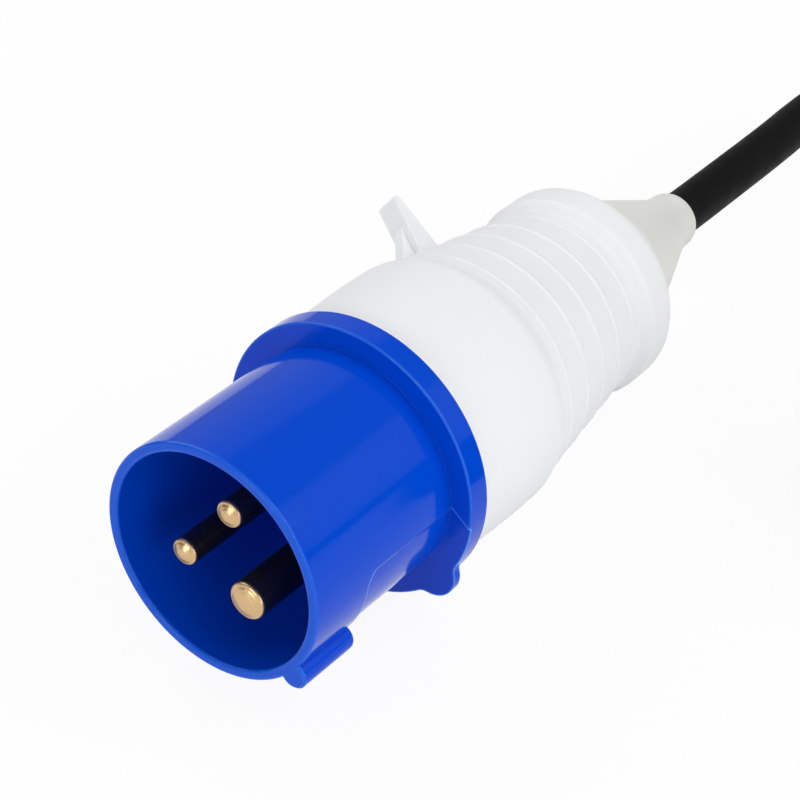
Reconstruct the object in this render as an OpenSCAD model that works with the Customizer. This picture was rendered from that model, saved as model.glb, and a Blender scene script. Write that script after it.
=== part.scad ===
// Adapter lead: three-pin industrial plug with tapered handle and gland nut, short cable and in-line socket.
// Lengths are in millimetres. Plug and socket are drawn about their own axis, along Z from face to cable.

/* [Shroud] */
// Outer radius of the shroud
shroud_r = 22.1; // [20:0.1:26]
// Wall of the shroud
shroud_wall = 1.9; // [1.7:0.1:3]
// Length from the mouth to the collar
shroud_len = 36.4; // [32:0.1:44]
// Rounding of the mouth's edges
mouth_round = 0.6; // [0.2:0.1:0.8]
// Length of the ramped flat in line with the catch
flat_len = 11.4; // [6:0.1:16]
// Depth of the ramped flat at the collar
flat_depth = 1.1; // [0.4:0.1:1.3]

/* [Collar and key] */
// Thickness of the collar
collar_thk = 4.8; // [3:0.1:8]
// How far the collar stands out from the shroud
collar_rim = 4.1; // [3:0.1:6]
// Rounding of the collar's edges
collar_round = 0.35; // [0.1:0.05:0.8]
// Radius of the lobe on the collar
lobe_r = 5.2; // [3.5:0.1:6]
// How far the lobe stands out from the collar
lobe_reach = 2.55; // [1:0.05:3.2]
// Thickness of the lobe
lobe_thk = 2.1; // [1:0.1:2.8]
// Radius of the concave blend beside the lobe
lobe_blend = 2.5; // [1:0.1:4]
// Radius of the key
key_r = 2.55; // [2:0.05:3]
// How far the key's axis stands out from the shroud's surface
key_out = 0.5; // [0:0.1:1]
// Length of the key
key_len = 13.5; // [8:0.1:13.5]
// Turn of the key and the lobe about the plug's axis
key_turn = 2.3; // [-4:0.1:4]
// Rounding of the key's rear end
key_round = 0.9; // [0.3:0.1:1.5]
// Half width of the sunk panel behind the key, at the shroud's surface
panel_half = 13.8; // [8:0.1:16]
// Width of the slope at the panel's long edges
panel_slope = 0.9; // [0.3:0.1:1.5]
// Place of the panel's front end
panel_start = 13.8; // [13.6:0.1:24]
// Depth of the sunk panel
panel_depth = 0.4; // [0.1:0.05:0.6]
// Corner radius of the panel's front end
panel_corner = 3; // [1:0.1:6]

/* [Pins] */
// Radius of the circle that the pins stand on
pin_circle_r = 8.5; // [8:0.1:10]
// Radius of the line and neutral pins
pin_r = 2.5; // [2:0.05:3]
// Radius of the earth pin
earth_pin_r = 3.5; // [2.5:0.05:3.8]
// Distance of the line tip behind the mouth
line_set_back = 2.7; // [1:0.1:8]
// Distance of the neutral tip behind the mouth
neutral_set_back = 1.9; // [1:0.1:8]
// Distance of the earth tip behind the mouth
earth_set_back = 0.4; // [0.2:0.1:6]
// Rounding of the pin tips
pin_tip_round = 0.5; // [0.2:0.1:1]
// Height of the dome on the pin tips
pin_tip_dome = 0.7; // [0.1:0.05:1]
// Step of each pin where it enters the carrier
pin_root_step = 0.3; // [0.2:0.05:0.6]
// Step of the shoulder that keeps each pin in the carrier
pin_shoulder_step = 0.9; // [0.5:0.1:1.2]
// Length of the shoulder
pin_shoulder_len = 3; // [2:0.1:5]
// Radius of the terminal barrels
barrel_r = 3.6; // [3.2:0.1:4]
// Length of the terminal barrels behind the carrier
barrel_len = 14; // [12:0.1:18]
// Radius of the wire hole in each barrel
wire_hole_r = 1.6; // [1.3:0.05:2]
// Depth of the wire hole
wire_hole_len = 10; // [8:0.1:11]

/* [Pin carrier] */
// Thickness of the carrier that holds the pins
base_thk = 9.5; // [7:0.1:12]
// Step of the seat that the carrier rests in
seat_step = 0.6; // [0.4:0.1:0.9]
// Least wall of the spigot around the seat
spigot_wall = 1.2; // [0.8:0.1:1.5]
// Length of the spigot that enters the handle
spigot_len = 13; // [8:0.1:18]
// Thickness of the plate that keeps the pins in
plate_thk = 2.5; // [1.5:0.1:4]
// Radius of the plate's screw
plate_screw_r = 1.6; // [1.2:0.1:2]
// Length of the plate's screw under its head
plate_screw_len = 9; // [5:0.1:11]
// Radius of the terminal screws
terminal_screw_r = 1.5; // [1.2:0.05:1.8]
// Height of the screw heads
screw_head_thk = 1.7; // [1:0.1:2.5]

/* [Handle] */
// How far the collar stands out from the handle
collar_step = 1.6; // [0.5:0.1:3]
// Wall of the handle at its front
handle_wall = 2.1; // [1.5:0.1:3]
// Swell of the handle's barrel
handle_bulge = 0.7; // [0:0.05:1.5]
// Distance from the collar to the widest place
bulge_dist = 17.3; // [14:0.1:22]
// Length of the smooth barrel
barrel_shell_len = 23.1; // [20:0.1:32]
// Length of the soft step from the barrel to the grip
grip_step_len = 5; // [3:0.1:5.5]
// Distance from the barrel to the first ridge
first_ridge_dist = 6.8; // [6.8:0.1:9]
// Spacing of the ridges
ridge_pitch = 6.85; // [5:0.05:8]
// Number of ridges on the grip
ridge_count = 5; // [3:1:6]
// Width of a ridge
ridge_w = 1.4; // [0.8:0.1:2.4]
// Height of a ridge
ridge_h = 0.24; // [0.1:0.02:0.6]
// Radius of the grip at the first ridge
grip_front_r = 23.5; // [22.5:0.05:24.5]
// Radius of the grip at the last ridge
neck_r = 19.3; // [18.5:0.05:21]
// Radius of the rear flange
flange_r = 20.6; // [20:0.05:23]
// Length of the neck between the last ridge and the flange
neck_len = 1.7; // [0.5:0.1:4]
// Length of the flange's sloping front
sweep_len = 2.8; // [2:0.1:8]
// Length of the flange's straight rim
flange_len = 4.6; // [2:0.1:8]
// Rounding of the flange's rear edge
flange_round = 3; // [1:0.1:4]
// Thickness of the rear wall
rear_wall = 4; // [2.5:0.1:6]

/* [Catch] */
// Distance from the collar to the catch's rear face
catch_dist = 42.2; // [36:0.1:46]
// Height of the catch's top above the axis
catch_top = 33.8; // [30:0.1:38]
// Width of the catch
catch_w = 5.3; // [4:0.1:8]
// Thickness at the top of the catch
catch_tip_thk = 1.5; // [1:0.1:2.5]
// Thickness at the root of the catch
catch_root_thk = 5.2; // [3:0.1:6]
// Width of the rib in front of the catch
rib_w = 2.6; // [1.2:0.1:3]
// Height of the rib's upper end above the axis
rib_top = 28.7; // [25:0.1:30]
// Length of the rib in front of the catch
rib_len = 5; // [2:0.1:7]

/* [Gland] */
// Radius of the threaded stub
stub_r = 11; // [10:0.1:12]
// Length of the threaded stub
stub_len = 9; // [7:0.1:10]
// Radius of the seal's pocket
pocket_r = 8; // [7:0.1:8.8]
// Length of the seal
seal_len = 6; // [4:0.1:7]
// Thickness of the slip washer
washer_thk = 1.5; // [1:0.1:2.2]
// Radius of the nut's base
nut_r = 14.8; // [14:0.1:17]
// Length of the nut's straight base
nut_base_len = 4.7; // [3:0.1:8]
// Length of the nut's cone
nut_cone_len = 19.4; // [14:0.1:26]
// Radius at the small end of the cone
nut_cone_end_r = 7.15; // [6.8:0.05:9]
// Length of the nut's nose
nut_nose_len = 8; // [5:0.1:14]
// Radius of the nut's lip
nut_lip_r = 5.9; // [5.6:0.05:6.8]
// Rounding of the lip
nut_lip_round = 2.2; // [1:0.1:3]
// Lean of the nut and the cable in it, down and to the side
gland_lean = 0.9; // [0:0.1:1]

/* [Cable] */
// Radius of the cable
cable_r = 4.6; // [4:0.05:4.8]
// Radius of an insulated core
core_r = 1.5; // [1.2:0.05:1.7]
// Distance of the cores from the middle of the cable
core_circle_r = 2.1; // [2:0.05:2.5]
// Length of sheath inside the plug, from the nut's lip
sheath_inside_len = 52; // [42:0.1:58]
// Radius of the ferrules
ferrule_r = 1.2; // [0.9:0.05:1.25]

/* [Socket] */
// Outer radius of the socket
socket_r = 22.5; // [21:0.1:26]
// Wall of the socket
socket_wall = 3.2; // [2:0.1:3.6]
// Length of the socket's body
socket_len = 46; // [42:0.1:60]
// Depth of the socket's recess
recess_depth = 17; // [12:0.1:18]
// Thickness of the contact carrier
carrier_thk = 20; // [18:0.1:22]
// Distance between the contact holes
contact_pitch = 19; // [18:0.1:20]
// Inner radius of the contacts
contact_r = 2.45; // [2.4:0.05:2.6]
// Wall of the contacts
contact_wall = 0.7; // [0.5:0.05:0.9]
// Length of the contacts
contact_len = 14; // [10:0.1:14]
// Thickness of the carrier's front over the contacts
carrier_front = 5; // [3:0.1:5.5]
// Width of the earth clip
clip_w = 4; // [3:0.1:6]
// Thickness of the earth clip
clip_thk = 0.9; // [0.6:0.05:1.2]
// How far the clip's arms lean into the recess
clip_bow = 1.6; // [0.5:0.1:2.2]
// Length of the bend sleeve
sleeve_len = 28; // [20:0.1:40]
// Radius of the bend sleeve at the body
sleeve_r = 8; // [7:0.1:10]
// Radius of the bend sleeve at the cable
sleeve_end_r = 6; // [5.4:0.1:7]
// Number of grooves in the bend sleeve
sleeve_grooves = 6; // [3:1:8]
// Place of the socket's face along the lead
socket_face_x = 96; // [90:1:105]
// Sideways place of the socket's axis
socket_side_y = -84; // [-90:1:-78]

/* [Rest] */
// Turn of the plug about its axis, from catch straight up
plug_roll = 52; // [0:0.5:90]

/* [Clearances] */
// Radial gap of sliding fits
fit_gap = 0.1; // [0.05:0.01:0.2]
// Gap of loose fits and threads
loose_gap = 0.25; // [0.15:0.01:0.4]

/* [Hidden] */

$fn = 96;
eps = 0.01;
cut = 1;
arc_steps = 5;
tube_sides = 12;
core_sides = 8;

// Pin angles about the plug's axis: the catch is at 0, the key and the earth pin are at 180.
line_angle = 60;
neutral_angle = -60;
earth_angle = 180;

cavity_r = shroud_r - shroud_wall;
collar_r = shroud_r + collar_rim;
collar_back = shroud_len + collar_thk;
base_back = shroud_len + base_thk;
handle_front_r = collar_r - collar_step;
handle_bore_r = handle_front_r - handle_wall;
spigot_r = handle_bore_r - fit_gap;
seat_r = min(cavity_r + seat_step, spigot_r - spigot_wall);
spigot_back = collar_back + spigot_len;
barrel_back = base_back + barrel_len;

grip_start = collar_back + barrel_shell_len;
first_ridge = grip_start + first_ridge_dist;
last_ridge = first_ridge + ridge_pitch * (ridge_count - 1);
neck_back = last_ridge + ridge_w / 2 + neck_len;
flange_front = neck_back + sweep_len;
flange_edge = flange_front + flange_len;
handle_back = flange_edge + flange_round;
rear_inside = handle_back - rear_wall;
bore_end = grip_start - first_ridge_dist;
neck_bore_r = neck_r - handle_wall;
catch_back = collar_back + catch_dist;

stub_back = handle_back + stub_len;
cable_bore_r = cable_r + 3 * loose_gap;
seal_front = stub_back + washer_thk / 3 - washer_thk - seal_len;
washer_back = seal_front + seal_len + washer_thk;
nut_front = handle_back + 2 * loose_gap;
nut_cone_front = nut_front + nut_base_len;
nut_nose_front = nut_cone_front + nut_cone_len;
nut_back = nut_nose_front + nut_nose_len;
nut_bore_r = cable_r + loose_gap;
nut_blend_len = nut_nose_len - nut_lip_round;
sheath_front = nut_back - sheath_inside_len;

// The nut's thread has play, so the nut and the sheath in it lean about the middle of the seal.
lean_place = seal_front + seal_len / 2;
lean_turn = -48.6;
lean_side = [cos(lean_turn), sin(lean_turn)];
lean_way = [lean_side.x * sin(gland_lean), lean_side.y * sin(gland_lean), cos(gland_lean)];

carrier_back = recess_depth + carrier_thk;
socket_bore_r = socket_r - socket_wall;
carrier_r = socket_bore_r - fit_gap;
contact_outer_r = contact_r + contact_wall;
contact_front = recess_depth + carrier_front;
clip_arm = carrier_r - loose_gap - clip_thk;
socket_end = socket_len + sleeve_len;

// The plug lies on its collar and on the end of its smooth barrel, so its axis dips towards the cable.
rest_tilt = atan((collar_r - barrel_shell_r(grip_start)) / (grip_start - collar_back));
floor_z = -collar_back * sin(rest_tilt) - collar_r * cos(rest_tilt);
gland_exit = from_plug([0, 0, lean_place] + lean_way * (nut_back + eps - lean_place));
socket_exit = [socket_face_x + socket_end, socket_side_y, floor_z + socket_r];

// Route of the free cable, chosen by hand: straight out, down to the floor in a half turn, up to the socket.
cable_route = [
    [165, -0.4, -7.2], [185, -0.3, -7.9], [197, 0, -8.3], [206, 0, -8.9],
    [219, -2, -10.6], [230.5, -8, -13.4], [240, -17.5, -16.7], [246, -29, -19.9],
    [248, -42, -22.3], [246, -55, -23.1], [240, -66.5, -22.6], [230.5, -76, -20.6],
    [219, -82, -17.4], [206, -84, -13.6], [194, -84, -10.2], [182, -84, -7.3]
];

// A place or way across and along the plug's axis, seen from the floor.
function from_plug(v) = [v.z * cos(rest_tilt) - v.x * sin(rest_tilt), v.y,
                         -v.z * sin(rest_tilt) - v.x * cos(rest_tilt)];

function mix(a, b, t) = a + (b - a) * t;
function ease(t) = t * t * (3 - 2 * t);
function arc(cx, cy, rx, ry, from, to, steps = arc_steps) =
    [for (i = [0:steps]) let (a = mix(from, to, i / steps)) [cx + rx * cos(a), cy + ry * sin(a)]];

// Radius of the smooth barrel, of the grip and of the handle's inside at the place z.
function barrel_shell_r(z) =
    handle_front_r + handle_bulge * (1 - pow((z - collar_back - bulge_dist) / bulge_dist, 2));
function grip_r(z) = mix(grip_front_r, neck_r, (z - first_ridge) / (last_ridge - first_ridge));
function handle_inside_r(z) =
    let (t = (z - bore_end) / (last_ridge - bore_end))
    mix(handle_bore_r, neck_bore_r, max(0, min(1, t)));

// Rings of a tube along points, joined into one closed surface with ends square to the given directions.
function unit(v) = v / norm(v);
function tangent(p, i, ends) = i == 0 ? ends[0] : i == len(p) - 1 ? ends[1] : unit(p[i + 1] - p[i - 1]);
function ring(p, i, r, sides, ends, up) =
    let (t = tangent(p, i, ends), u = unit(cross(up, t)), v = cross(t, u))
    [for (k = [0:sides - 1]) p[i] + r * (cos(360 * k / sides) * u + sin(360 * k / sides) * v)];

module tube(points, r, sides, ends, up) {
    last = len(points) - 1;
    polyhedron(
        points = [for (i = [0:last]) each ring(points, i, r, sides, ends, up)],
        faces = concat(
            [[for (k = [0:sides - 1]) sides - 1 - k]],
            [for (i = [0:last - 1]) for (k = [0:sides - 1])
                let (a = i * sides, b = a + sides, next = (k + 1) % sides)
                [a + k, a + next, b + next, b + k]],
            [[for (k = [0:sides - 1]) last * sides + k]]
        )
    );
}

module in_plug() {
    rotate([0, 90 + rest_tilt, 0]) rotate([0, 0, 180 - plug_roll]) children();
}

module in_gland() {
    rotate([0, 90 + rest_tilt, 0]) translate([0, 0, lean_place])
        rotate(a = gland_lean, v = [-lean_side.y, lean_side.x, 0]) translate([0, 0, -lean_place]) children();
}

module in_socket() {
    translate([socket_face_x, socket_side_y, floor_z + socket_r]) rotate([0, 90, 0]) children();
}

module at_pin(angle) {
    rotate([0, 0, angle]) translate([pin_circle_r, 0, 0]) children();
}

module for_each_pin() {
    for (angle = [line_angle, neutral_angle, earth_angle]) at_pin(angle) children();
}

// A flat outline in the plane through the axis and the catch, as thick as given.
module in_catch_plane(thickness) {
    rotate([90, 0, 0]) linear_extrude(thickness, center = true) children();
}

// A screw with its head's underside at zero and its slot across the head.
module slotted_screw(r, length) {
    head_r = r * 1.7;
    difference() {
        union() {
            translate([0, 0, -length]) cylinder(r = r, h = length + eps);
            cylinder(r = head_r, h = screw_head_thk);
        }
        translate([-head_r - cut, -r / 4, screw_head_thk * 0.55])
            cube([2 * (head_r + cut), r / 2, screw_head_thk]);
    }
}

module shroud_profile() {
    polygon(concat(
        arc(cavity_r + mouth_round, mouth_round, mouth_round, mouth_round, 180, 270),
        arc(shroud_r - mouth_round, mouth_round, mouth_round, mouth_round, 270, 360),
        [[shroud_r, shroud_len]],
        arc(collar_r - collar_round, shroud_len + collar_round, collar_round, collar_round, 270, 360),
        arc(collar_r - collar_round, collar_back - collar_round, collar_round, collar_round, 0, 90),
        [[spigot_r, collar_back], [spigot_r, spigot_back], [seat_r, spigot_back], [seat_r, shroud_len],
         [cavity_r, shroud_len]]
    ));
}

// The lobe's outline with concave blends to the collar, in the plane across the axis.
module lobe_outline() {
    lobe_dist = collar_r + lobe_reach - lobe_r;
    to_blend = collar_r + lobe_blend;
    between = lobe_r + lobe_blend;
    angle = acos((pow(to_blend, 2) + pow(lobe_dist, 2) - pow(between, 2)) / (2 * to_blend * lobe_dist));
    blend = [to_blend * cos(angle), to_blend * sin(angle)];
    translate([lobe_dist, 0]) circle(r = lobe_r);
    difference() {
        polygon([[lobe_dist / 2, 0], blend, [lobe_dist, 0], [blend.x, -blend.y]]);
        translate(blend) circle(r = lobe_blend);
        translate([blend.x, -blend.y]) circle(r = lobe_blend);
    }
}

module key() {
    rotate([0, 0, key_turn]) translate([-shroud_r - key_out, 0, 0]) rotate_extrude()
        polygon(concat(
            [[0, 0], [key_r - mouth_round / 2, 0], [key_r, mouth_round / 2]],
            arc(key_r - key_round, key_len - key_round, key_round, key_round, 0, 90),
            [[0, key_len]]
        ));
}

// The sunk panel reaches from behind the key to the collar's face, and its long edges slope to its floor.
module panel_cut() {
    panel_len = shroud_len + panel_depth - panel_start;
    outer = collar_r + lobe_reach + cut;
    floor_half = panel_half - panel_slope;
    inner_half = panel_half - panel_corner;
    edge_x = -sqrt(pow(shroud_r, 2) - pow(panel_half, 2));
    floor_x = -sqrt(pow(shroud_r - panel_depth, 2) - pow(floor_half, 2));
    intersection() {
        rotate_extrude() translate([shroud_r - panel_depth, panel_start]) square([outer, panel_len]);
        translate([0, 0, panel_start]) linear_extrude(panel_len)
            polygon([[floor_x, -floor_half], [edge_x, -panel_half], [-outer, -panel_half],
                     [-outer, panel_half], [edge_x, panel_half], [floor_x, floor_half]]);
        rotate([0, -90, 0]) linear_extrude(outer) {
            translate([panel_start + panel_corner, -panel_half]) square([panel_len, 2 * panel_half]);
            translate([panel_start, -inner_half]) square([panel_len, 2 * inner_half]);
            for (side = [-1, 1])
                translate([panel_start + panel_corner, side * inner_half]) circle(r = panel_corner);
        }
    }
}

module pin_holes(angle, r) {
    at_pin(angle) {
        translate([0, 0, shroud_len - cut]) cylinder(r = r + pin_root_step + fit_gap, h = base_thk + 2 * cut);
        translate([0, 0, base_back - pin_shoulder_len])
            cylinder(r = r + pin_root_step + pin_shoulder_step + fit_gap, h = pin_shoulder_len + cut);
    }
}

module plug_shroud() {
    color("#1c4fd0") in_plug() difference() {
        union() {
            rotate_extrude() shroud_profile();
            difference() {
                key();
                translate([0, 0, -cut]) cylinder(r = cavity_r + shroud_wall / 2, h = key_len + 2 * cut);
            }
            difference() {
                translate([0, 0, shroud_len]) rotate([0, 0, 180 + key_turn])
                    linear_extrude(lobe_thk) lobe_outline();
                translate([0, 0, shroud_len - cut]) cylinder(r = spigot_r, h = lobe_thk + 2 * cut);
            }
        }
        panel_cut();
        in_catch_plane(2 * shroud_r)
            polygon([[shroud_r, shroud_len - flat_len], [shroud_r - flat_depth, shroud_len],
                     [shroud_r + cut, shroud_len], [shroud_r + cut, shroud_len - flat_len]]);
    }
}

module pin_carrier() {
    color("#1746b8") in_plug() difference() {
        translate([0, 0, shroud_len]) cylinder(r = seat_r - fit_gap, h = base_thk);
        pin_holes(line_angle, pin_r);
        pin_holes(neutral_angle, pin_r);
        pin_holes(earth_angle, earth_pin_r);
        translate([0, 0, base_back - plate_screw_len])
            cylinder(r = plate_screw_r + fit_gap / 2, h = plate_screw_len + cut);
    }
}

module pin(angle, r, set_back) {
    root_r = r + pin_root_step;
    shoulder_r = root_r + pin_shoulder_step;
    shoulder_front = base_back - pin_shoulder_len;
    screw_z = barrel_back - wire_hole_len / 2;
    face_r = r - pin_tip_round;
    dome_steps = 4;
    color("#d9b568") in_plug() at_pin(angle) difference() {
        rotate_extrude() polygon(concat(
            [for (i = [0:dome_steps - 1]) let (t = i / dome_steps)
                [face_r * t, set_back + pin_tip_dome * t * t]],
            arc(face_r, set_back + pin_tip_dome + pin_tip_round, pin_tip_round, pin_tip_round, 270, 360),
            [[r, shroud_len], [root_r, shroud_len], [root_r, shoulder_front], [shoulder_r, shoulder_front],
             [shoulder_r, base_back], [barrel_r, base_back], [barrel_r, barrel_back], [0, barrel_back]]
        ));
        translate([0, 0, barrel_back - wire_hole_len]) cylinder(r = wire_hole_r, h = wire_hole_len + cut);
        translate([0, 0, screw_z]) rotate([0, 90, 0])
            cylinder(r = terminal_screw_r + fit_gap / 2, h = barrel_r + cut);
    }
}

module line_pin() {
    pin(line_angle, pin_r, line_set_back);
}

module neutral_pin() {
    pin(neutral_angle, pin_r, neutral_set_back);
}

module earth_pin() {
    pin(earth_angle, earth_pin_r, earth_set_back);
}

module pin_retainer() {
    color("#3a3d42") in_plug() difference() {
        translate([0, 0, base_back]) cylinder(r = seat_r - loose_gap, h = plate_thk);
        translate([0, 0, base_back - cut]) {
            for_each_pin() cylinder(r = barrel_r + fit_gap, h = plate_thk + 2 * cut);
            cylinder(r = plate_screw_r + fit_gap, h = plate_thk + 2 * cut);
        }
    }
}

module retainer_screw() {
    color("#b9bcc0") in_plug() translate([0, 0, base_back + plate_thk])
        slotted_screw(plate_screw_r, plate_screw_len - cut / 2);
}

module terminal_screws() {
    color("#b9bcc0") in_plug() for_each_pin()
        translate([barrel_r, 0, barrel_back - wire_hole_len / 2]) rotate([0, 90, 0])
            slotted_screw(terminal_screw_r, barrel_r - ferrule_r - fit_gap / 2);
}

module handle_profile() {
    barrel_steps = 8;
    step_steps = 5;
    ridge_steps = 6;
    sweep_steps = 8;
    grip_front = grip_start + grip_step_len;
    barrel = [for (i = [0:barrel_steps - 1]) let (z = mix(collar_back, grip_start, i / barrel_steps))
        [barrel_shell_r(z), z]];
    soft_step = [for (i = [0:step_steps]) let (t = i / step_steps)
        [mix(barrel_shell_r(grip_start), grip_r(grip_front), ease(t)), mix(grip_start, grip_front, t)]];
    ridges = [for (i = [0:ridge_count - 1]) for (k = [0:ridge_steps])
        let (t = k / ridge_steps, z = first_ridge + ridge_pitch * i + ridge_w * (t - 0.5))
        [grip_r(z) + ridge_h * sin(180 * t), z]];
    sweep = [for (k = [0:sweep_steps]) let (t = k / sweep_steps)
        [mix(grip_r(neck_back), flange_r, ease(t)), mix(neck_back, flange_front, t)]];
    rim = arc(flange_r - flange_round, flange_edge, flange_round, flange_round, 0, 90);
    stub = [[stub_r, handle_back], [stub_r, stub_back], [pocket_r, stub_back], [pocket_r, seal_front]];
    inside = [[cable_bore_r, seal_front], [cable_bore_r, rear_inside], [neck_bore_r, rear_inside],
              [neck_bore_r, last_ridge], [handle_bore_r, bore_end], [handle_bore_r, collar_back]];
    polygon(concat(barrel, soft_step, ridges, sweep, rim, stub, inside));
}

// The catch stands on the grip with a rib in front of it, and both are rooted in the handle's wall.
module lid_catch() {
    tip_r = catch_tip_thk / 2;
    catch_root_z = catch_back - catch_root_thk;
    catch_root = handle_inside_r(catch_root_z) + handle_wall / 4;
    rib_front = catch_root_z - rib_len + catch_tip_thk;
    rib_back = catch_back - catch_root_thk / 2;
    rib_root = handle_inside_r(rib_front) + handle_wall / 4;
    in_catch_plane(catch_w)
        polygon(concat(
            [[catch_root, catch_root_z]],
            arc(catch_top - tip_r, catch_back - tip_r, tip_r, tip_r, -90, 90),
            [[catch_root, catch_back]]
        ));
    in_catch_plane(rib_w)
        polygon([[rib_root, rib_front], [grip_r(rib_front) - handle_wall / 4, rib_front], [rib_top, rib_back],
                 [rib_root, rib_back]]);
}

module handle() {
    color("#eceef0") in_plug() {
        rotate_extrude() handle_profile();
        lid_catch();
    }
}

module gland_nut() {
    blend_steps = 6;
    lip_front = nut_nose_front + nut_blend_len;
    shoulder = washer_back + loose_gap;
    color("#e2e2dc") in_gland() rotate_extrude() polygon(concat(
        [[stub_r + loose_gap, nut_front], [nut_r - mouth_round, nut_front], [nut_r, nut_front + mouth_round],
         [nut_r, nut_cone_front]],
        [for (k = [0:blend_steps]) let (t = k / blend_steps)
            [nut_lip_r + (nut_cone_end_r - nut_lip_r) * pow(1 - t, 2), mix(nut_nose_front, lip_front, t)]],
        arc(nut_bore_r, lip_front, nut_lip_r - nut_bore_r, nut_lip_round, 0, 90),
        [[nut_bore_r, shoulder], [stub_r + loose_gap, shoulder]]
    ));
}

module gland_seal() {
    color("#2b2c2e") in_plug() translate([0, 0, seal_front]) difference() {
        cylinder(r = pocket_r - fit_gap, h = seal_len);
        translate([0, 0, -cut]) cylinder(r = cable_r + fit_gap, h = seal_len + 2 * cut);
    }
}

module gland_washer() {
    color("#d8d8d2") in_plug() translate([0, 0, seal_front + seal_len]) difference() {
        cylinder(r = pocket_r - loose_gap, h = washer_thk);
        translate([0, 0, -cut]) cylinder(r = cable_r + loose_gap, h = washer_thk + 2 * cut);
    }
}

module inner_sheath() {
    color("#1b1c1b") in_gland() translate([0, 0, sheath_front]) cylinder(r = cable_r, h = sheath_inside_len);
}

// A core leaves the sheath beside the axis and bends out to its pin's barrel.
module core(angle) {
    core_back = barrel_back + fit_gap;
    core_start = sheath_front - fit_gap;
    bend_len = core_start - core_back;
    steps = 6;
    points = [for (i = [0:steps]) let (t = i / steps, out = mix(core_circle_r, pin_circle_r, ease(t)))
        [out * cos(angle), out * sin(angle), core_start - bend_len * t]];
    in_plug() tube(points, core_r, core_sides, [[0, 0, -1], [0, 0, -1]], [-sin(angle), cos(angle), 0]);
}

module line_core() {
    color("#6b3f22") core(line_angle);
}

module neutral_core() {
    color("#2f6fc4") core(neutral_angle);
}

module earth_core() {
    color("#6fa832") core(earth_angle);
}

module ferrules() {
    ferrule_len = wire_hole_len - fit_gap;
    color("#c9ccd0") in_plug() for_each_pin()
        translate([0, 0, barrel_back + fit_gap - ferrule_len]) cylinder(r = ferrule_r, h = ferrule_len);
}

module cable() {
    points = concat([gland_exit], cable_route, [socket_exit]);
    ends = [from_plug(lean_way), [-1, 0, 0]];
    color("#1b1c1b") tube(points, cable_r, tube_sides, ends, [0, 0, 1]);
}

module socket_body() {
    bore_back = carrier_back + clip_thk + loose_gap;
    shoulder_len = socket_len - carrier_back;
    groove_pitch = sleeve_len / (sleeve_grooves + 1);
    groove_w = groove_pitch * 0.45;
    groove_depth = 0.9;
    color("#202122") in_socket() difference() {
        rotate_extrude() polygon(concat(
            [[0, socket_end], [0, bore_back], [socket_bore_r, bore_back], [socket_bore_r, mouth_round]],
            arc(socket_bore_r + mouth_round, mouth_round, mouth_round, mouth_round, 180, 270),
            arc(socket_r - 2 * mouth_round, 2 * mouth_round, 2 * mouth_round, 2 * mouth_round, 270, 360),
            [[socket_r, carrier_back - shoulder_len]],
            arc(socket_r - shoulder_len, carrier_back - shoulder_len, shoulder_len, 2 * shoulder_len, 0, 75),
            [[sleeve_r, socket_len], [sleeve_end_r, socket_end]]
        ));
        for (i = [1:sleeve_grooves]) {
            floor_r = mix(sleeve_r, sleeve_end_r, i / (sleeve_grooves + 1)) - groove_depth;
            translate([0, 0, socket_len + groove_pitch * i - groove_w / 2]) difference() {
                cylinder(r = sleeve_r + cut, h = groove_w);
                translate([0, 0, -cut]) cylinder(r = floor_r, h = groove_w + 2 * cut);
            }
        }
    }
}

module contact_carrier() {
    color("#2a2b2d") in_socket() difference() {
        translate([0, 0, recess_depth]) cylinder(r = carrier_r, h = carrier_thk);
        for (side = [-1, 1]) {
            translate([0, side * contact_pitch / 2, 0]) {
                translate([0, 0, recess_depth - cut])
                    cylinder(r = contact_r + loose_gap, h = carrier_thk + 2 * cut);
                translate([0, 0, contact_front]) cylinder(r = contact_outer_r + fit_gap, h = carrier_thk);
            }
            translate([side * (clip_arm + clip_thk / 2), 0, recess_depth + carrier_thk / 2])
                cube([clip_thk + 2 * fit_gap, clip_w + 2 * fit_gap, carrier_thk + 2 * cut], center = true);
        }
    }
}

module socket_contact(side) {
    color("#d9b568") in_socket() translate([0, side * contact_pitch / 2, contact_front]) difference() {
        cylinder(r = contact_outer_r, h = contact_len);
        translate([0, 0, -cut]) cylinder(r = contact_r, h = contact_len + 2 * cut);
    }
}

module socket_line_contact() {
    socket_contact(1);
}

module socket_neutral_contact() {
    socket_contact(-1);
}

// Two spring arms along the recess, joined behind the carrier.
module socket_earth_clip() {
    outer = clip_arm + clip_thk;
    tip = recess_depth / 3;
    bend = recess_depth / 2;
    arm = [[outer, carrier_back + clip_thk], [outer, recess_depth - clip_thk], [outer - clip_bow, bend],
           [outer - clip_bow / 2, tip], [outer - clip_bow / 2 - clip_thk, tip], [clip_arm - clip_bow, bend],
           [clip_arm, recess_depth - clip_thk], [clip_arm, carrier_back]];
    last = len(arm) - 1;
    color("#c4a35a") in_socket() in_catch_plane(clip_w)
        polygon(concat(arm, [for (i = [0:last]) [-arm[last - i].x, arm[last - i].y]]));
}

plug_shroud();
pin_carrier();
line_pin();
neutral_pin();
earth_pin();
pin_retainer();
retainer_screw();
terminal_screws();
handle();
gland_nut();
gland_seal();
gland_washer();
inner_sheath();
line_core();
neutral_core();
earth_core();
ferrules();
cable();
socket_body();
contact_carrier();
socket_line_contact();
socket_neutral_contact();
socket_earth_clip();
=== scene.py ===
"""Looks of an adapter lead: an industrial plug with handle and gland nut, its cable and its in-line socket."""

import math

import bmesh
import bpy
from bpy.props import FloatProperty, FloatVectorProperty, PointerProperty
from bpy.types import Operator, Panel, PropertyGroup
from mathutils import Matrix, Vector


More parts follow.
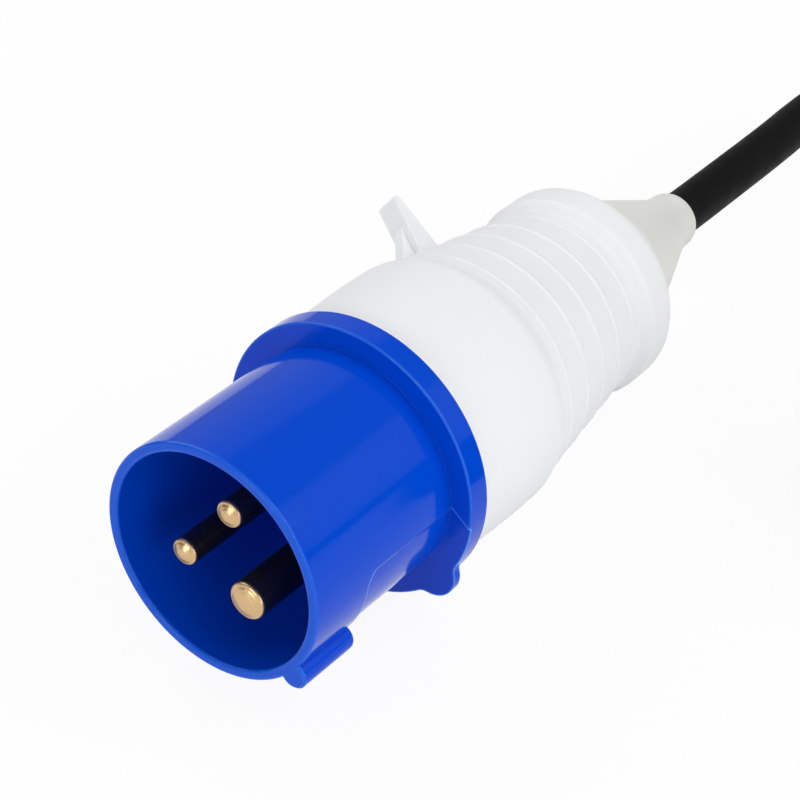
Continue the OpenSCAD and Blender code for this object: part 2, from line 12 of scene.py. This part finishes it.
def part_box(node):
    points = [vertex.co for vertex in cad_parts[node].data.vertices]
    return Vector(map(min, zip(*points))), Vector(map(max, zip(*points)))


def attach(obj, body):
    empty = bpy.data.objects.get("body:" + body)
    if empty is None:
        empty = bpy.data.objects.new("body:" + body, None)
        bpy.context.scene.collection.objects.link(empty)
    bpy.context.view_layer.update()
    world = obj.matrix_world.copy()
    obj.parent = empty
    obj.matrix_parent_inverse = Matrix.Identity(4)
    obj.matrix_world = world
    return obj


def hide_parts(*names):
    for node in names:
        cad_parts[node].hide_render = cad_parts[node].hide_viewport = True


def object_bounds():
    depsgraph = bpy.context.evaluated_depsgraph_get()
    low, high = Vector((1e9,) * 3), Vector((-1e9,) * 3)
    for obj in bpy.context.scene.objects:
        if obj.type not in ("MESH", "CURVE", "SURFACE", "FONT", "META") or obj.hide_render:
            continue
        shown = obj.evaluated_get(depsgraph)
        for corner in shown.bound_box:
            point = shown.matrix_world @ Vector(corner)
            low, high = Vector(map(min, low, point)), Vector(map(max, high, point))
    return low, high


bl_info = {
    "name": "Adapter Lead",
    "version": (1, 0, 0),
    "blender": (4, 5, 0),
    "location": "3D View > Sidebar > Adapter Lead",
    "description": "Dresses the packed solids of an adapter lead and sets up its studio",
    "category": "Object",
}

MM = 0.001

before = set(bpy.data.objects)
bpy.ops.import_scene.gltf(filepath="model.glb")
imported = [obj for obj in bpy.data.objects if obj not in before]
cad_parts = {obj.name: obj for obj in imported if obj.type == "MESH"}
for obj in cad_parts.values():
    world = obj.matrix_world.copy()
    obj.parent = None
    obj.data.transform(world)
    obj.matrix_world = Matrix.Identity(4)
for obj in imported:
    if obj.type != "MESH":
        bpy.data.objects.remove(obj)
cad_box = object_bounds()
floor_height = cad_box[0][2]
socket_low, socket_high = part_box("socket_body")

# The pins stand round the plug's axis, which dips towards the cable. The plug's turn is the catch's angle about that
# axis. Each pin has its angle in degrees from the catch, and the place behind the mouth where its shank begins.
PIN_CIRCLE = 8.5 * MM
PINS = {"line_pin": (60, 3.9 * MM), "neutral_pin": (-60, 3.1 * MM), "earth_pin": (180, 1.6 * MM)}
PLUG_TURN = math.radians(128)
PLUG_DIP = math.radians(2.426)

# Where the gland nut, which leans a little, lets the cable out, the way that the cable leaves it, and how far the
# curve's first knot keeps to that way.
GLAND_EXIT = (0.14377, -0.00033, -0.00638)
GLAND_WAY = (0.9985, -0.0118, -0.0527)
STRAIGHT_START = 7 * MM

# Route of the free cable in metres: straight out of the gland nut, down to the floor in a half turn, up to the socket.
CABLE_ROUTE = [
    (0.165, -0.0004, -0.0072), (0.185, -0.0003, -0.0079), (0.197, 0.0, -0.0083), (0.206, 0.0, -0.0089),
    (0.219, -0.002, -0.0106), (0.2305, -0.008, -0.0134), (0.240, -0.0175, -0.0167), (0.246, -0.029, -0.0199),
    (0.248, -0.042, -0.0223), (0.246, -0.055, -0.0231), (0.240, -0.0665, -0.0226), (0.2305, -0.076, -0.0206),
    (0.219, -0.082, -0.0174), (0.206, -0.084, -0.0136), (0.194, -0.084, -0.0102), (0.182, -0.084, -0.0073),
]

# Most values of a noise lie between these two.
NOISE_LOW, NOISE_HIGH = 0.3, 0.7
# Painted highlight along outer edges, standing in for the light that their small roundings catch: the line is full
# where this share of the inside is open, and gone at the larger share.
LINE_FULL, LINE_GONE = 0.65, 0.97
LINE_WIDTH_MM = 0.35
# Painted highlight on the mouth's rim, standing in for the extra light that the rim's front takes: the rim takes this
# share of the highlight tone, which fades between these two places behind the mouth.
RIM_SHARE = 0.1
RIM_FULL, RIM_GONE = 0.3 * MM, 0.8 * MM
SOFT_EDGE_SAMPLES = 8

# Turned marks and small dents on the pins' tips, and the step from the tip's gloss to the shank's.
RING_PITCH, RING_DEPTH = 0.7 * MM, 0.018 * MM
DENT_SIZE, DENT_DEPTH = 1.6 * MM, 0.12 * MM
TIP_ROUGHNESS, SHANK_ROUGHNESS = 0.34, 0.4
SHANK_FADE = 0.4 * MM
# One unit of the wave texture on the earth core. It holds about one and a half stripes.
STRIPE_UNIT = 27 * MM

# Soft square lamps: the studio's value with the power, the place and the side in metres. All face the same place.
LAMPS = {
    "key_lamp": ("key_power", (0.24, -0.56, 0.60), 0.55),
    "fill_lamp": ("fill_power", (0.10, 0.58, 0.52), 0.6),
    "mouth_lamp": ("mouth_power", (-0.85, 0.05, 0.24), 0.4),
    "front_lamp": ("front_power", (-0.35, -0.80, 0.20), 0.5),
    "rear_lamp": ("rear_power", (0.58, 0.60, 0.38), 0.75),
    "side_lamp": ("side_power", (0.60, -0.58, 0.32), 0.5),
}
LAMP_TARGET = (0.07, 0, 0)
# The sky's light rises between these two heights on the unit sphere.
SKY_LOW, SKY_HIGH = 0.05, 0.4
FLOOR_GREY = 0.9
SENSOR_WIDTH = 36
WHITE = (1, 1, 1, 1)


def linear(hex_colour):
    """An sRGB hex colour as linear red, green and blue."""
    parts = [int(hex_colour[i:i + 2], 16) / 255 for i in (1, 3, 5)]
    return tuple(c / 12.92 if c <= 0.04045 else ((c + 0.055) / 1.055) ** 2.4 for c in parts)


def colour_property(name, description, hex_colour):
    """A colour that a user may change, with its default as sRGB hex."""
    return FloatVectorProperty(name=name, description=description, subtype="COLOR", size=3, min=0, max=1,
                               default=linear(hex_colour))


def level_property(name, description, level):
    """A lamp's power in watts, or a strength of light, that a user may change."""
    return FloatProperty(name=name, description=description, default=level, min=0)


class LeadColours(PropertyGroup):
    """Colours of the lead's plastics, rubbers and metals."""

    shroud_blue: colour_property("Shroud blue", "Moulded polyamide of the plug's front", "#0046CA")
    # Edge blue is a painted highlight: the lighter tone that lamps give the plug front's rounded edges and the mouth's
    # rim.
    edge_highlight_blue: colour_property("Edge blue", "Burnished edges of the plug's front", "#4E9AFF")
    handle_white: colour_property("Handle white", "Moulded polyamide of the handle", "#EDEEEF")
    nut_white: colour_property("Nut white", "Warmer polyamide of the gland nut", "#E3E3DE")
    cable_black: colour_property("Cable black", "Sheath of the cable", "#0F100F")
    socket_black: colour_property("Socket black", "Soft moulding of the in-line socket", "#1F2021")
    carrier_grey: colour_property("Carrier grey", "Hard moulding that carries the contacts", "#2C2D30")
    pin_brass: colour_property("Pin brass", "Turned brass of the pins and contacts", "#D6B588")
    # Shank brown is painted shade: the darker tone stands in for the dark cavity that the pins' shanks reflect.
    shank_shade: colour_property("Shank brown", "Browned brass of the pins' shanks", "#6E6456")
    screw_steel: colour_property("Screw steel", "Zinc plating of the screws and ferrules", "#B9BDC2")
    seal_black: colour_property("Seal black", "Rubber of the gland's seal", "#26272A")
    line_brown: colour_property("Line brown", "Insulation of the line core", "#6B3F22")
    neutral_blue: colour_property("Neutral blue", "Insulation of the neutral core", "#2F6FC4")
    earth_green: colour_property("Earth green", "First colour of the earth core", "#5E9A2C")
    earth_yellow: colour_property("Earth yellow", "Second colour of the earth core", "#E3CC3A")


class LeadSizes(PropertyGroup):
    """Sizes of the pieces that are made here."""

    cable_diameter: FloatProperty(name="Cable diameter", description="Outer diameter of the sheath",
                                  default=9.2 * MM, min=6 * MM, max=12 * MM, unit="LENGTH")


class LeadStudio(PropertyGroup):
    """Camera, lamps and floor."""

    camera_place: FloatVectorProperty(name="Camera place", description="Where the camera stands", subtype="TRANSLATION",
                                      default=(-0.21938, -0.20195, 0.25233), unit="LENGTH")
    view_direction: FloatVectorProperty(name="View direction", description="Where the camera looks",
                                        subtype="DIRECTION", default=(0.6447, 0.4804, -0.5946))
    lens: FloatProperty(name="Lens", description="Focal length in millimetres on a 36 mm sensor", default=108, min=20)
    floor_size: FloatProperty(name="Floor size", description="Side of the floor", default=6, min=1, unit="LENGTH")
    floor_glow: FloatProperty(name="Floor glow", description="Share of plain white in the floor that is seen",
                              default=0.92, min=0, max=1)
    key_power: level_property("Key power", "Power of the large lamp in watts", 3.35)
    fill_power: level_property("Fill power", "Power of the lamp over the handle's left in watts", 2.8)
    mouth_power: level_property("Mouth power", "Power of the low lamp straight before the mouth in watts", 2.6)
    front_power: level_property("Front power", "Power of the low lamp on the mouth's right in watts", 2.3)
    rear_power: level_property("Rear power", "Power of the lamp behind the cable in watts", 0.7)
    side_power: level_property("Side power", "Power of the panel on the cable's right in watts", 0.5)
    sky_strength: level_property("Sky strength", "Light from above", 0.27)
    horizon_strength: level_property("Horizon strength", "Light from the horizon", 0.04)


def clear_tree(owner):
    """The emptied node tree of a material or a world."""
    owner.use_nodes = True
    owner.node_tree.nodes.clear()
    return owner.node_tree


def add_node(tree, kind, settings=None, values=None, links=None):
    """One node with its settings, socket values and incoming links."""
    node = tree.nodes.new(kind)
    for name, value in (settings or {}).items():
        setattr(node, name, value)
    for name, value in (values or {}).items():
        node.inputs[name].default_value = value
    for name, source in (links or {}).items():
        tree.links.new(source, node.inputs[name])
    return node


def new_material(name, colour, **values):
    """A material with one principled shader. Values are that shader's own sockets, with _ for a space."""
    material = bpy.data.materials.new(name)
    tree = clear_tree(material)
    sockets = {key.replace("_", " "): value for key, value in values.items()}
    shader = add_node(tree, "ShaderNodeBsdfPrincipled", values={"Base Color": (*colour, 1), **sockets})
    add_node(tree, "ShaderNodeOutputMaterial", links={"Surface": shader.outputs["BSDF"]})
    material.diffuse_color = (*colour, 1)
    return material, tree, shader


def object_place(tree):
    """Places on a piece in metres, in the CAD's frame."""
    return add_node(tree, "ShaderNodeTexCoord").outputs["Object"]


def mapped(tree, place, **values):
    """Places after a mapping. Values are the mapping's own sockets."""
    return add_node(tree, "ShaderNodeMapping", values=values, links={"Vector": place}).outputs["Vector"]


def noise(tree, place, cell, detail):
    """Noise with cells of a real size in metres."""
    return add_node(tree, "ShaderNodeTexNoise", values={"Scale": 1 / cell, "Detail": detail},
                    links={"Vector": place}).outputs["Fac"]


def spread(tree, value, start, end, low=0.0, high=1.0):
    """A value that goes from low to high while another goes from start to end."""
    return add_node(tree, "ShaderNodeMapRange",
                    values={"From Min": start, "From Max": end, "To Min": low, "To Max": high},
                    links={"Value": value}).outputs["Result"]


def larger(tree, first, second):
    """The larger of two values."""
    return add_node(tree, "ShaderNodeMath", {"operation": "MAXIMUM"}, links={0: first, 1: second}).outputs["Value"]


def bump(tree, height, depth, **links):
    """Normals of a relief that is as deep as given in metres."""
    return add_node(tree, "ShaderNodeBump", values={"Distance": depth, "Strength": 1.0},
                    links={"Height": height, **links}).outputs["Normal"]


def two_tones(tree, shader, share, first, second):
    """A base colour that goes from one tone to another."""
    tone = add_node(tree, "ShaderNodeMix", {"data_type": "RGBA"}, {"A": (*first, 1), "B": (*second, 1)},
                    {"Factor": share})
    tree.links.new(tone.outputs["Result"], shader.inputs["Base Color"])


def noise_bump(tree, shader, cell_mm, height_mm, detail=2.0, edge_mm=0.0, stretch=1.0):
    """Fine unevenness of a moulded skin, with cells of a real size, stretched along X, over edges that look rounded."""
    place = mapped(tree, object_place(tree), Scale=(1 / stretch, 1, 1))
    links = {}
    if edge_mm:
        edge = add_node(tree, "ShaderNodeBevel", {"samples": SOFT_EDGE_SAMPLES}, {"Radius": edge_mm * MM})
        links["Normal"] = edge.outputs["Normal"]
    normal = bump(tree, noise(tree, place, cell_mm * MM, detail), height_mm * MM, **links)
    tree.links.new(normal, shader.inputs["Normal"])


def painted_edge_highlights(tree, shader, face_colour, highlight_colour):
    """Painted highlight: a lighter line along outer edges, where their small roundings catch the light, and a share of
    it on the mouth's rim, which takes more light than the sides.
    """
    along_plug = mapped(tree, object_place(tree), Rotation=(0, -PLUG_DIP, 0))
    axes = add_node(tree, "ShaderNodeSeparateXYZ", links={"Vector": along_plug})
    rim = spread(tree, axes.outputs["X"], RIM_GONE, RIM_FULL, high=RIM_SHARE)
    inside = add_node(tree, "ShaderNodeAmbientOcclusion",
                      {"samples": SOFT_EDGE_SAMPLES, "inside": True, "only_local": True},
                      {"Distance": LINE_WIDTH_MM * MM})
    line = spread(tree, inside.outputs["AO"], LINE_GONE, LINE_FULL)
    two_tones(tree, shader, larger(tree, rim, line), face_colour, highlight_colour)


def rough_patches(tree, shader, cell_mm, low, high):
    """Slow changes of gloss over a face."""
    patches = noise(tree, object_place(tree), cell_mm * MM, detail=3.0)
    tree.links.new(spread(tree, patches, NOISE_LOW, NOISE_HIGH, low, high), shader.inputs["Roughness"])


def blue_polyamide(colours):
    """Glass-smooth moulded polyamide: deep blue, with reflections that run in soft streaks along the plug."""
    material, tree, shader = new_material("blue_polyamide", colours.shroud_blue, IOR=1.5, Specular_IOR_Level=0.13)
    rough_patches(tree, shader, cell_mm=9, low=0.09, high=0.17)
    noise_bump(tree, shader, cell_mm=5, height_mm=0.09, detail=1.0, edge_mm=0.25, stretch=14)
    # Painted highlight on the outer edges and on the mouth's rim.
    painted_edge_highlights(tree, shader, colours.shroud_blue, colours.edge_highlight_blue)
    return material


def white_polyamide(colours):
    """Satin moulded polyamide that lets a little light in, so its shading is soft."""
    material, tree, shader = new_material("white_polyamide", colours.handle_white, IOR=1.53, Specular_IOR_Level=0.35,
                                          Subsurface_Weight=0.25, Subsurface_Radius=(1.0, 1.0, 1.0),
                                          Subsurface_Scale=1.2 * MM)
    rough_patches(tree, shader, cell_mm=11, low=0.5, high=0.62)
    noise_bump(tree, shader, cell_mm=1.6, height_mm=0.006)
    return material


def nut_polyamide(colours):
    """A warmer and duller polyamide than the handle's."""
    material, tree, shader = new_material("nut_polyamide", colours.nut_white, Roughness=0.48, IOR=1.53,
                                          Subsurface_Weight=0.2, Subsurface_Radius=(1.0, 0.95, 0.85),
                                          Subsurface_Scale=1.0 * MM)
    noise_bump(tree, shader, cell_mm=1.4, height_mm=0.008)
    return material


def sheath_rubber(colours):
    """Extruded rubber sheath: matt black with a faint powdery skin."""
    material, tree, shader = new_material("sheath_rubber", colours.cable_black, IOR=1.5, Specular_IOR_Level=0.1)
    rough_patches(tree, shader, cell_mm=5, low=0.52, high=0.7)
    noise_bump(tree, shader, cell_mm=0.7, height_mm=0.02, detail=3.0)
    return material


def moulded_rubber(name, colour):
    """Moulded soft rubber: dull, with a fine spark-eroded grain and well rounded edges."""
    material, tree, shader = new_material(name, colour, Roughness=0.62, IOR=1.5)
    noise_bump(tree, shader, cell_mm=0.6, height_mm=0.03, detail=3.0, edge_mm=1.5)
    return material


def hard_polyamide(name, colour):
    """Plain moulded polyamide: an even, low gloss."""
    material, tree, shader = new_material(name, colour, Roughness=0.45, IOR=1.53)
    noise_bump(tree, shader, cell_mm=1.2, height_mm=0.008)
    return material


def turned_brass(name, colours, angle, shank_start):
    """Brass pin: a satin tip with turned rings and small dents that break up the light, and a shank in a darker painted
    shade, which stands in for the dark cavity that the shank reflects.
    """
    material, tree, shader = new_material(name, colours.pin_brass, Metallic=1.0)
    place = object_place(tree)
    turn = math.radians(angle) + PLUG_TURN
    about_pin = mapped(tree, place, Location=(-PIN_CIRCLE * math.cos(turn), -PIN_CIRCLE * math.sin(turn), 0),
                       Rotation=(0, -math.pi / 2 - PLUG_DIP, 0))
    # The texture's rings lie a tenth of pi apart at a scale of 1.
    rings = add_node(tree, "ShaderNodeTexWave", {"wave_type": "RINGS", "rings_direction": "Z"},
                     {"Scale": math.pi / (10 * RING_PITCH), "Distortion": 1.5, "Detail": 2.0}, {"Vector": about_pin})
    dented = bump(tree, noise(tree, place, DENT_SIZE, detail=2.0), DENT_DEPTH)
    tree.links.new(bump(tree, rings.outputs["Fac"], RING_DEPTH, Normal=dented), shader.inputs["Normal"])
    behind_mouth = add_node(tree, "ShaderNodeSeparateXYZ", links={"Vector": about_pin}).outputs["Z"]
    step = (shank_start, shank_start + SHANK_FADE)
    # Painted shade: behind the tip the shank turns darker, standing in for the dark cavity that it reflects.
    two_tones(tree, shader, spread(tree, behind_mouth, *step), colours.pin_brass, colours.shank_shade)
    roughness = spread(tree, behind_mouth, *step, TIP_ROUGHNESS, SHANK_ROUGHNESS)
    tree.links.new(roughness, shader.inputs["Roughness"])
    return material


def drawn_brass(colours):
    """Plain drawn brass: a soft mirror with slight changes of gloss."""
    material, tree, shader = new_material("drawn_brass", colours.pin_brass, Metallic=1.0)
    rough_patches(tree, shader, cell_mm=2, low=0.14, high=0.28)
    return material


def plated_steel(colours):
    """Zinc-plated steel: bright grey with a slightly clouded gloss."""
    material, tree, shader = new_material("plated_steel", colours.screw_steel, Metallic=1.0)
    rough_patches(tree, shader, cell_mm=1.5, low=0.24, high=0.4)
    return material


def striped_insulation(colours):
    """Earth core: green insulation with a yellow stripe that winds round it."""
    material, tree, shader = new_material("striped_insulation", colours.earth_green, Roughness=0.45, IOR=1.5)
    wave = add_node(tree, "ShaderNodeTexWave", {"wave_type": "BANDS", "bands_direction": "DIAGONAL"},
                    {"Scale": 1 / STRIPE_UNIT}, {"Vector": object_place(tree)})
    stripe = add_node(tree, "ShaderNodeMath", {"operation": "GREATER_THAN"}, {1: 0.5}, {0: wave.outputs["Fac"]})
    two_tones(tree, shader, stripe.outputs["Value"], colours.earth_green, colours.earth_yellow)
    return material


def dress(material, *nodes):
    """Gives CAD nodes a material."""
    for name in nodes:
        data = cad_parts[name].data
        data.materials.clear()
        data.materials.append(material)


class LEAD_OT_plug_front(Operator):
    """Dress the shroud with its collar and key, and the carrier of the pins"""

    bl_idname = "lead.plug_front"
    bl_label = "Plug Front"

    def execute(self, context):
        dress(blue_polyamide(context.scene.lead_colours), "plug_shroud", "pin_carrier")
        return {"FINISHED"}


class LEAD_OT_pins(Operator):
    """Dress the pins"""

    bl_idname = "lead.pins"
    bl_label = "Pins"

    def execute(self, context):
        for name, (angle, shank_start) in PINS.items():
            dress(turned_brass("brass_of_" + name, context.scene.lead_colours, angle, shank_start), name)
        return {"FINISHED"}


class LEAD_OT_handle(Operator):
    """Dress the handle with its lid catch"""

    bl_idname = "lead.handle"
    bl_label = "Handle"

    def execute(self, context):
        dress(white_polyamide(context.scene.lead_colours), "handle")
        return {"FINISHED"}


class LEAD_OT_gland(Operator):
    """Dress the gland nut, its slip washer and its seal"""

    bl_idname = "lead.gland"
    bl_label = "Gland"

    def execute(self, context):
        colours = context.scene.lead_colours
        dress(nut_polyamide(colours), "gland_nut", "gland_washer")
        dress(moulded_rubber("seal_rubber", colours.seal_black), "gland_seal")
        return {"FINISHED"}


class LEAD_OT_wiring(Operator):
    """Dress what is inside the handle: plate, screws, ferrules and cores"""

    bl_idname = "lead.wiring"
    bl_label = "Wiring"

    def execute(self, context):
        colours = context.scene.lead_colours
        dress(hard_polyamide("plate_polyamide", colours.carrier_grey), "pin_retainer")
        dress(plated_steel(colours), "retainer_screw", "terminal_screws", "ferrules")
        dress(hard_polyamide("brown_insulation", colours.line_brown), "line_core")
        dress(hard_polyamide("blue_insulation", colours.neutral_blue), "neutral_core")
        dress(striped_insulation(colours), "earth_core")
        return {"FINISHED"}


class LEAD_OT_socket(Operator):
    """Dress the in-line socket"""

    bl_idname = "lead.socket"
    bl_label = "Socket"

    def execute(self, context):
        colours = context.scene.lead_colours
        dress(moulded_rubber("socket_rubber", colours.socket_black), "socket_body")
        dress(hard_polyamide("carrier_polyamide", colours.carrier_grey), "contact_carrier")
        dress(drawn_brass(colours), "socket_line_contact", "socket_neutral_contact", "socket_earth_clip")
        return {"FINISHED"}


class LEAD_OT_cable(Operator):
    """Lay the free cable from the gland nut to the socket"""

    bl_idname = "lead.cable"
    bl_label = "Cable"

    def execute(self, context):
        radius = context.scene.lead_sizes.cable_diameter / 2
        start = Vector(GLAND_EXIT)
        end = Vector((socket_high[0], (socket_low[1] + socket_high[1]) / 2, (socket_low[2] + socket_high[2]) / 2))
        points = [start, *map(Vector, CABLE_ROUTE), end]
        curve = self.cable_curve(points, radius)
        cable = bpy.data.objects.new("free_cable", curve)
        context.scene.collection.objects.link(cable)
        material = sheath_rubber(context.scene.lead_colours)
        curve.materials.append(material)
        dress(material, "inner_sheath")
        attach(cable, "root")
        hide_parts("cable")
        return {"FINISHED"}

    def cable_curve(self, points, radius):
        """One smooth round curve through the points, which leaves the gland nut the nut's own way."""
        curve = bpy.data.curves.new("free_cable", "CURVE")
        curve.dimensions = "3D"
        curve.resolution_u = 10
        curve.bevel_depth = radius
        curve.bevel_resolution = 8
        curve.use_fill_caps = True
        spline = curve.splines.new("BEZIER")
        spline.bezier_points.add(len(points) - 1)
        for knot, place in zip(spline.bezier_points, points):
            knot.co = place
            knot.handle_left_type = "AUTO"
            knot.handle_right_type = "AUTO"
        first = spline.bezier_points[0]
        first.handle_left_type = "FREE"
        first.handle_right_type = "FREE"
        first.handle_left = points[0] - Vector(GLAND_WAY) * STRAIGHT_START
        first.handle_right = points[0] + Vector(GLAND_WAY) * STRAIGHT_START
        return curve


class LEAD_OT_studio(Operator):
    """Set up the floor, the lamps and the camera"""

    bl_idname = "lead.studio"
    bl_label = "Studio"

    def execute(self, context):
        scene = context.scene
        studio = scene.lead_studio
        self.add_floor(scene, studio)
        self.add_sky(scene, studio)
        for name, (power, place, size) in LAMPS.items():
            self.add_lamp(scene, name, getattr(studio, power), place, size)
        self.add_camera(scene, studio)
        scene.view_settings.view_transform = "Standard"
        return {"FINISHED"}

    def add_floor(self, scene, studio):
        """A pale floor that is white to the camera and still takes the object's shadow."""
        mesh = bpy.data.meshes.new("floor")
        shape = bmesh.new()
        bmesh.ops.create_grid(shape, x_segments=1, y_segments=1, size=studio.floor_size / 2)
        bmesh.ops.translate(shape, verts=shape.verts, vec=(0, 0, floor_height))
        shape.to_mesh(mesh)
        shape.free()
        floor = bpy.data.objects.new("floor", mesh)
        scene.collection.objects.link(floor)
        material = bpy.data.materials.new("pale_floor")
        tree = clear_tree(material)
        matt = add_node(tree, "ShaderNodeBsdfDiffuse", values={"Color": (FLOOR_GREY, FLOOR_GREY, FLOOR_GREY, 1)})
        white = add_node(tree, "ShaderNodeEmission", values={"Color": WHITE, "Strength": 1.0})
        rays = add_node(tree, "ShaderNodeLightPath").outputs
        mirrored = larger(tree, rays["Is Glossy Ray"], rays["Is Transmission Ray"])
        seen = larger(tree, rays["Is Camera Ray"], mirrored)
        share = add_node(tree, "ShaderNodeMath", {"operation": "MULTIPLY"}, {1: studio.floor_glow}, {0: seen})
        both = add_node(tree, "ShaderNodeMixShader", links={0: share.outputs["Value"], 1: matt.outputs["BSDF"],
                                                           2: white.outputs["Emission"]})
        add_node(tree, "ShaderNodeOutputMaterial", links={"Surface": both.outputs["Shader"]})
        mesh.materials.append(material)

    def add_sky(self, scene, studio):
        """Soft light from above that fades towards the horizon."""
        world = bpy.data.worlds.new("studio")
        tree = clear_tree(world)
        place = add_node(tree, "ShaderNodeTexCoord")
        axes = add_node(tree, "ShaderNodeSeparateXYZ", links={"Vector": place.outputs["Generated"]})
        level = add_node(tree, "ShaderNodeMapRange", {"interpolation_type": "SMOOTHSTEP"},
                         {"From Min": SKY_LOW, "From Max": SKY_HIGH, "To Min": studio.horizon_strength,
                          "To Max": studio.sky_strength}, {"Value": axes.outputs["Z"]})
        sky = add_node(tree, "ShaderNodeBackground", values={"Color": WHITE},
                       links={"Strength": level.outputs["Result"]})
        add_node(tree, "ShaderNodeOutputWorld", links={"Surface": sky.outputs["Background"]})
        scene.world = world

    def add_lamp(self, scene, name, power, place, size):
        """A square soft lamp that faces the plug."""
        lamp = bpy.data.lights.new(name, "AREA")
        lamp.energy = power
        lamp.size = size
        holder = bpy.data.objects.new(name, lamp)
        holder.location = place
        holder.rotation_euler = (Vector(LAMP_TARGET) - holder.location).to_track_quat("-Z", "Y").to_euler()
        scene.collection.objects.link(holder)

    def add_camera(self, scene, studio):
        """The photograph's view, level from side to side."""
        forward = Vector(studio.view_direction).normalized()
        right = forward.cross(Vector((0, 0, 1))).normalized()
        up = right.cross(forward)
        lens = bpy.data.cameras.new("camera")
        lens.lens = studio.lens
        lens.sensor_width = SENSOR_WIDTH
        lens.clip_start = 0.01
        camera = bpy.data.objects.new("camera", lens)
        turn = Matrix((right, up, -forward)).transposed().to_4x4()
        camera.matrix_world = Matrix.Translation(studio.camera_place) @ turn
        scene.collection.objects.link(camera)
        scene.camera = camera


OPERATORS = (
    LEAD_OT_studio, LEAD_OT_cable, LEAD_OT_plug_front, LEAD_OT_pins, LEAD_OT_handle, LEAD_OT_gland, LEAD_OT_wiring,
    LEAD_OT_socket,
)


class LEAD_PT_sidebar(Panel):
    """Lists the lead's operators"""

    bl_idname = "LEAD_PT_sidebar"
    bl_label = "Adapter Lead"
    bl_space_type = "VIEW_3D"
    bl_region_type = "UI"
    bl_category = "Adapter Lead"

    def draw(self, context):
        for operator in OPERATORS:
            self.layout.operator(operator.bl_idname)


GROUPS = {"lead_colours": LeadColours, "lead_sizes": LeadSizes, "lead_studio": LeadStudio}


def register():
    """Adds the add-on's classes and the scene's values."""
    for group in GROUPS.values():
        bpy.utils.register_class(group)
    for operator in OPERATORS:
        bpy.utils.register_class(operator)
    bpy.utils.register_class(LEAD_PT_sidebar)
    for name, group in GROUPS.items():
        setattr(bpy.types.Scene, name, PointerProperty(type=group))


def unregister():
    """Takes out what register added, in the other order."""
    for name in GROUPS:
        delattr(bpy.types.Scene, name)
    bpy.utils.unregister_class(LEAD_PT_sidebar)
    for operator in reversed(OPERATORS):
        bpy.utils.unregister_class(operator)
    for group in reversed(GROUPS.values()):
        bpy.utils.unregister_class(group)


def main():
    """Runs every operator once."""
    register()
    for operator in OPERATORS:
        group, name = operator.bl_idname.split(".")
        getattr(getattr(bpy.ops, group), name)()


if __name__ == "__main__":
    main()
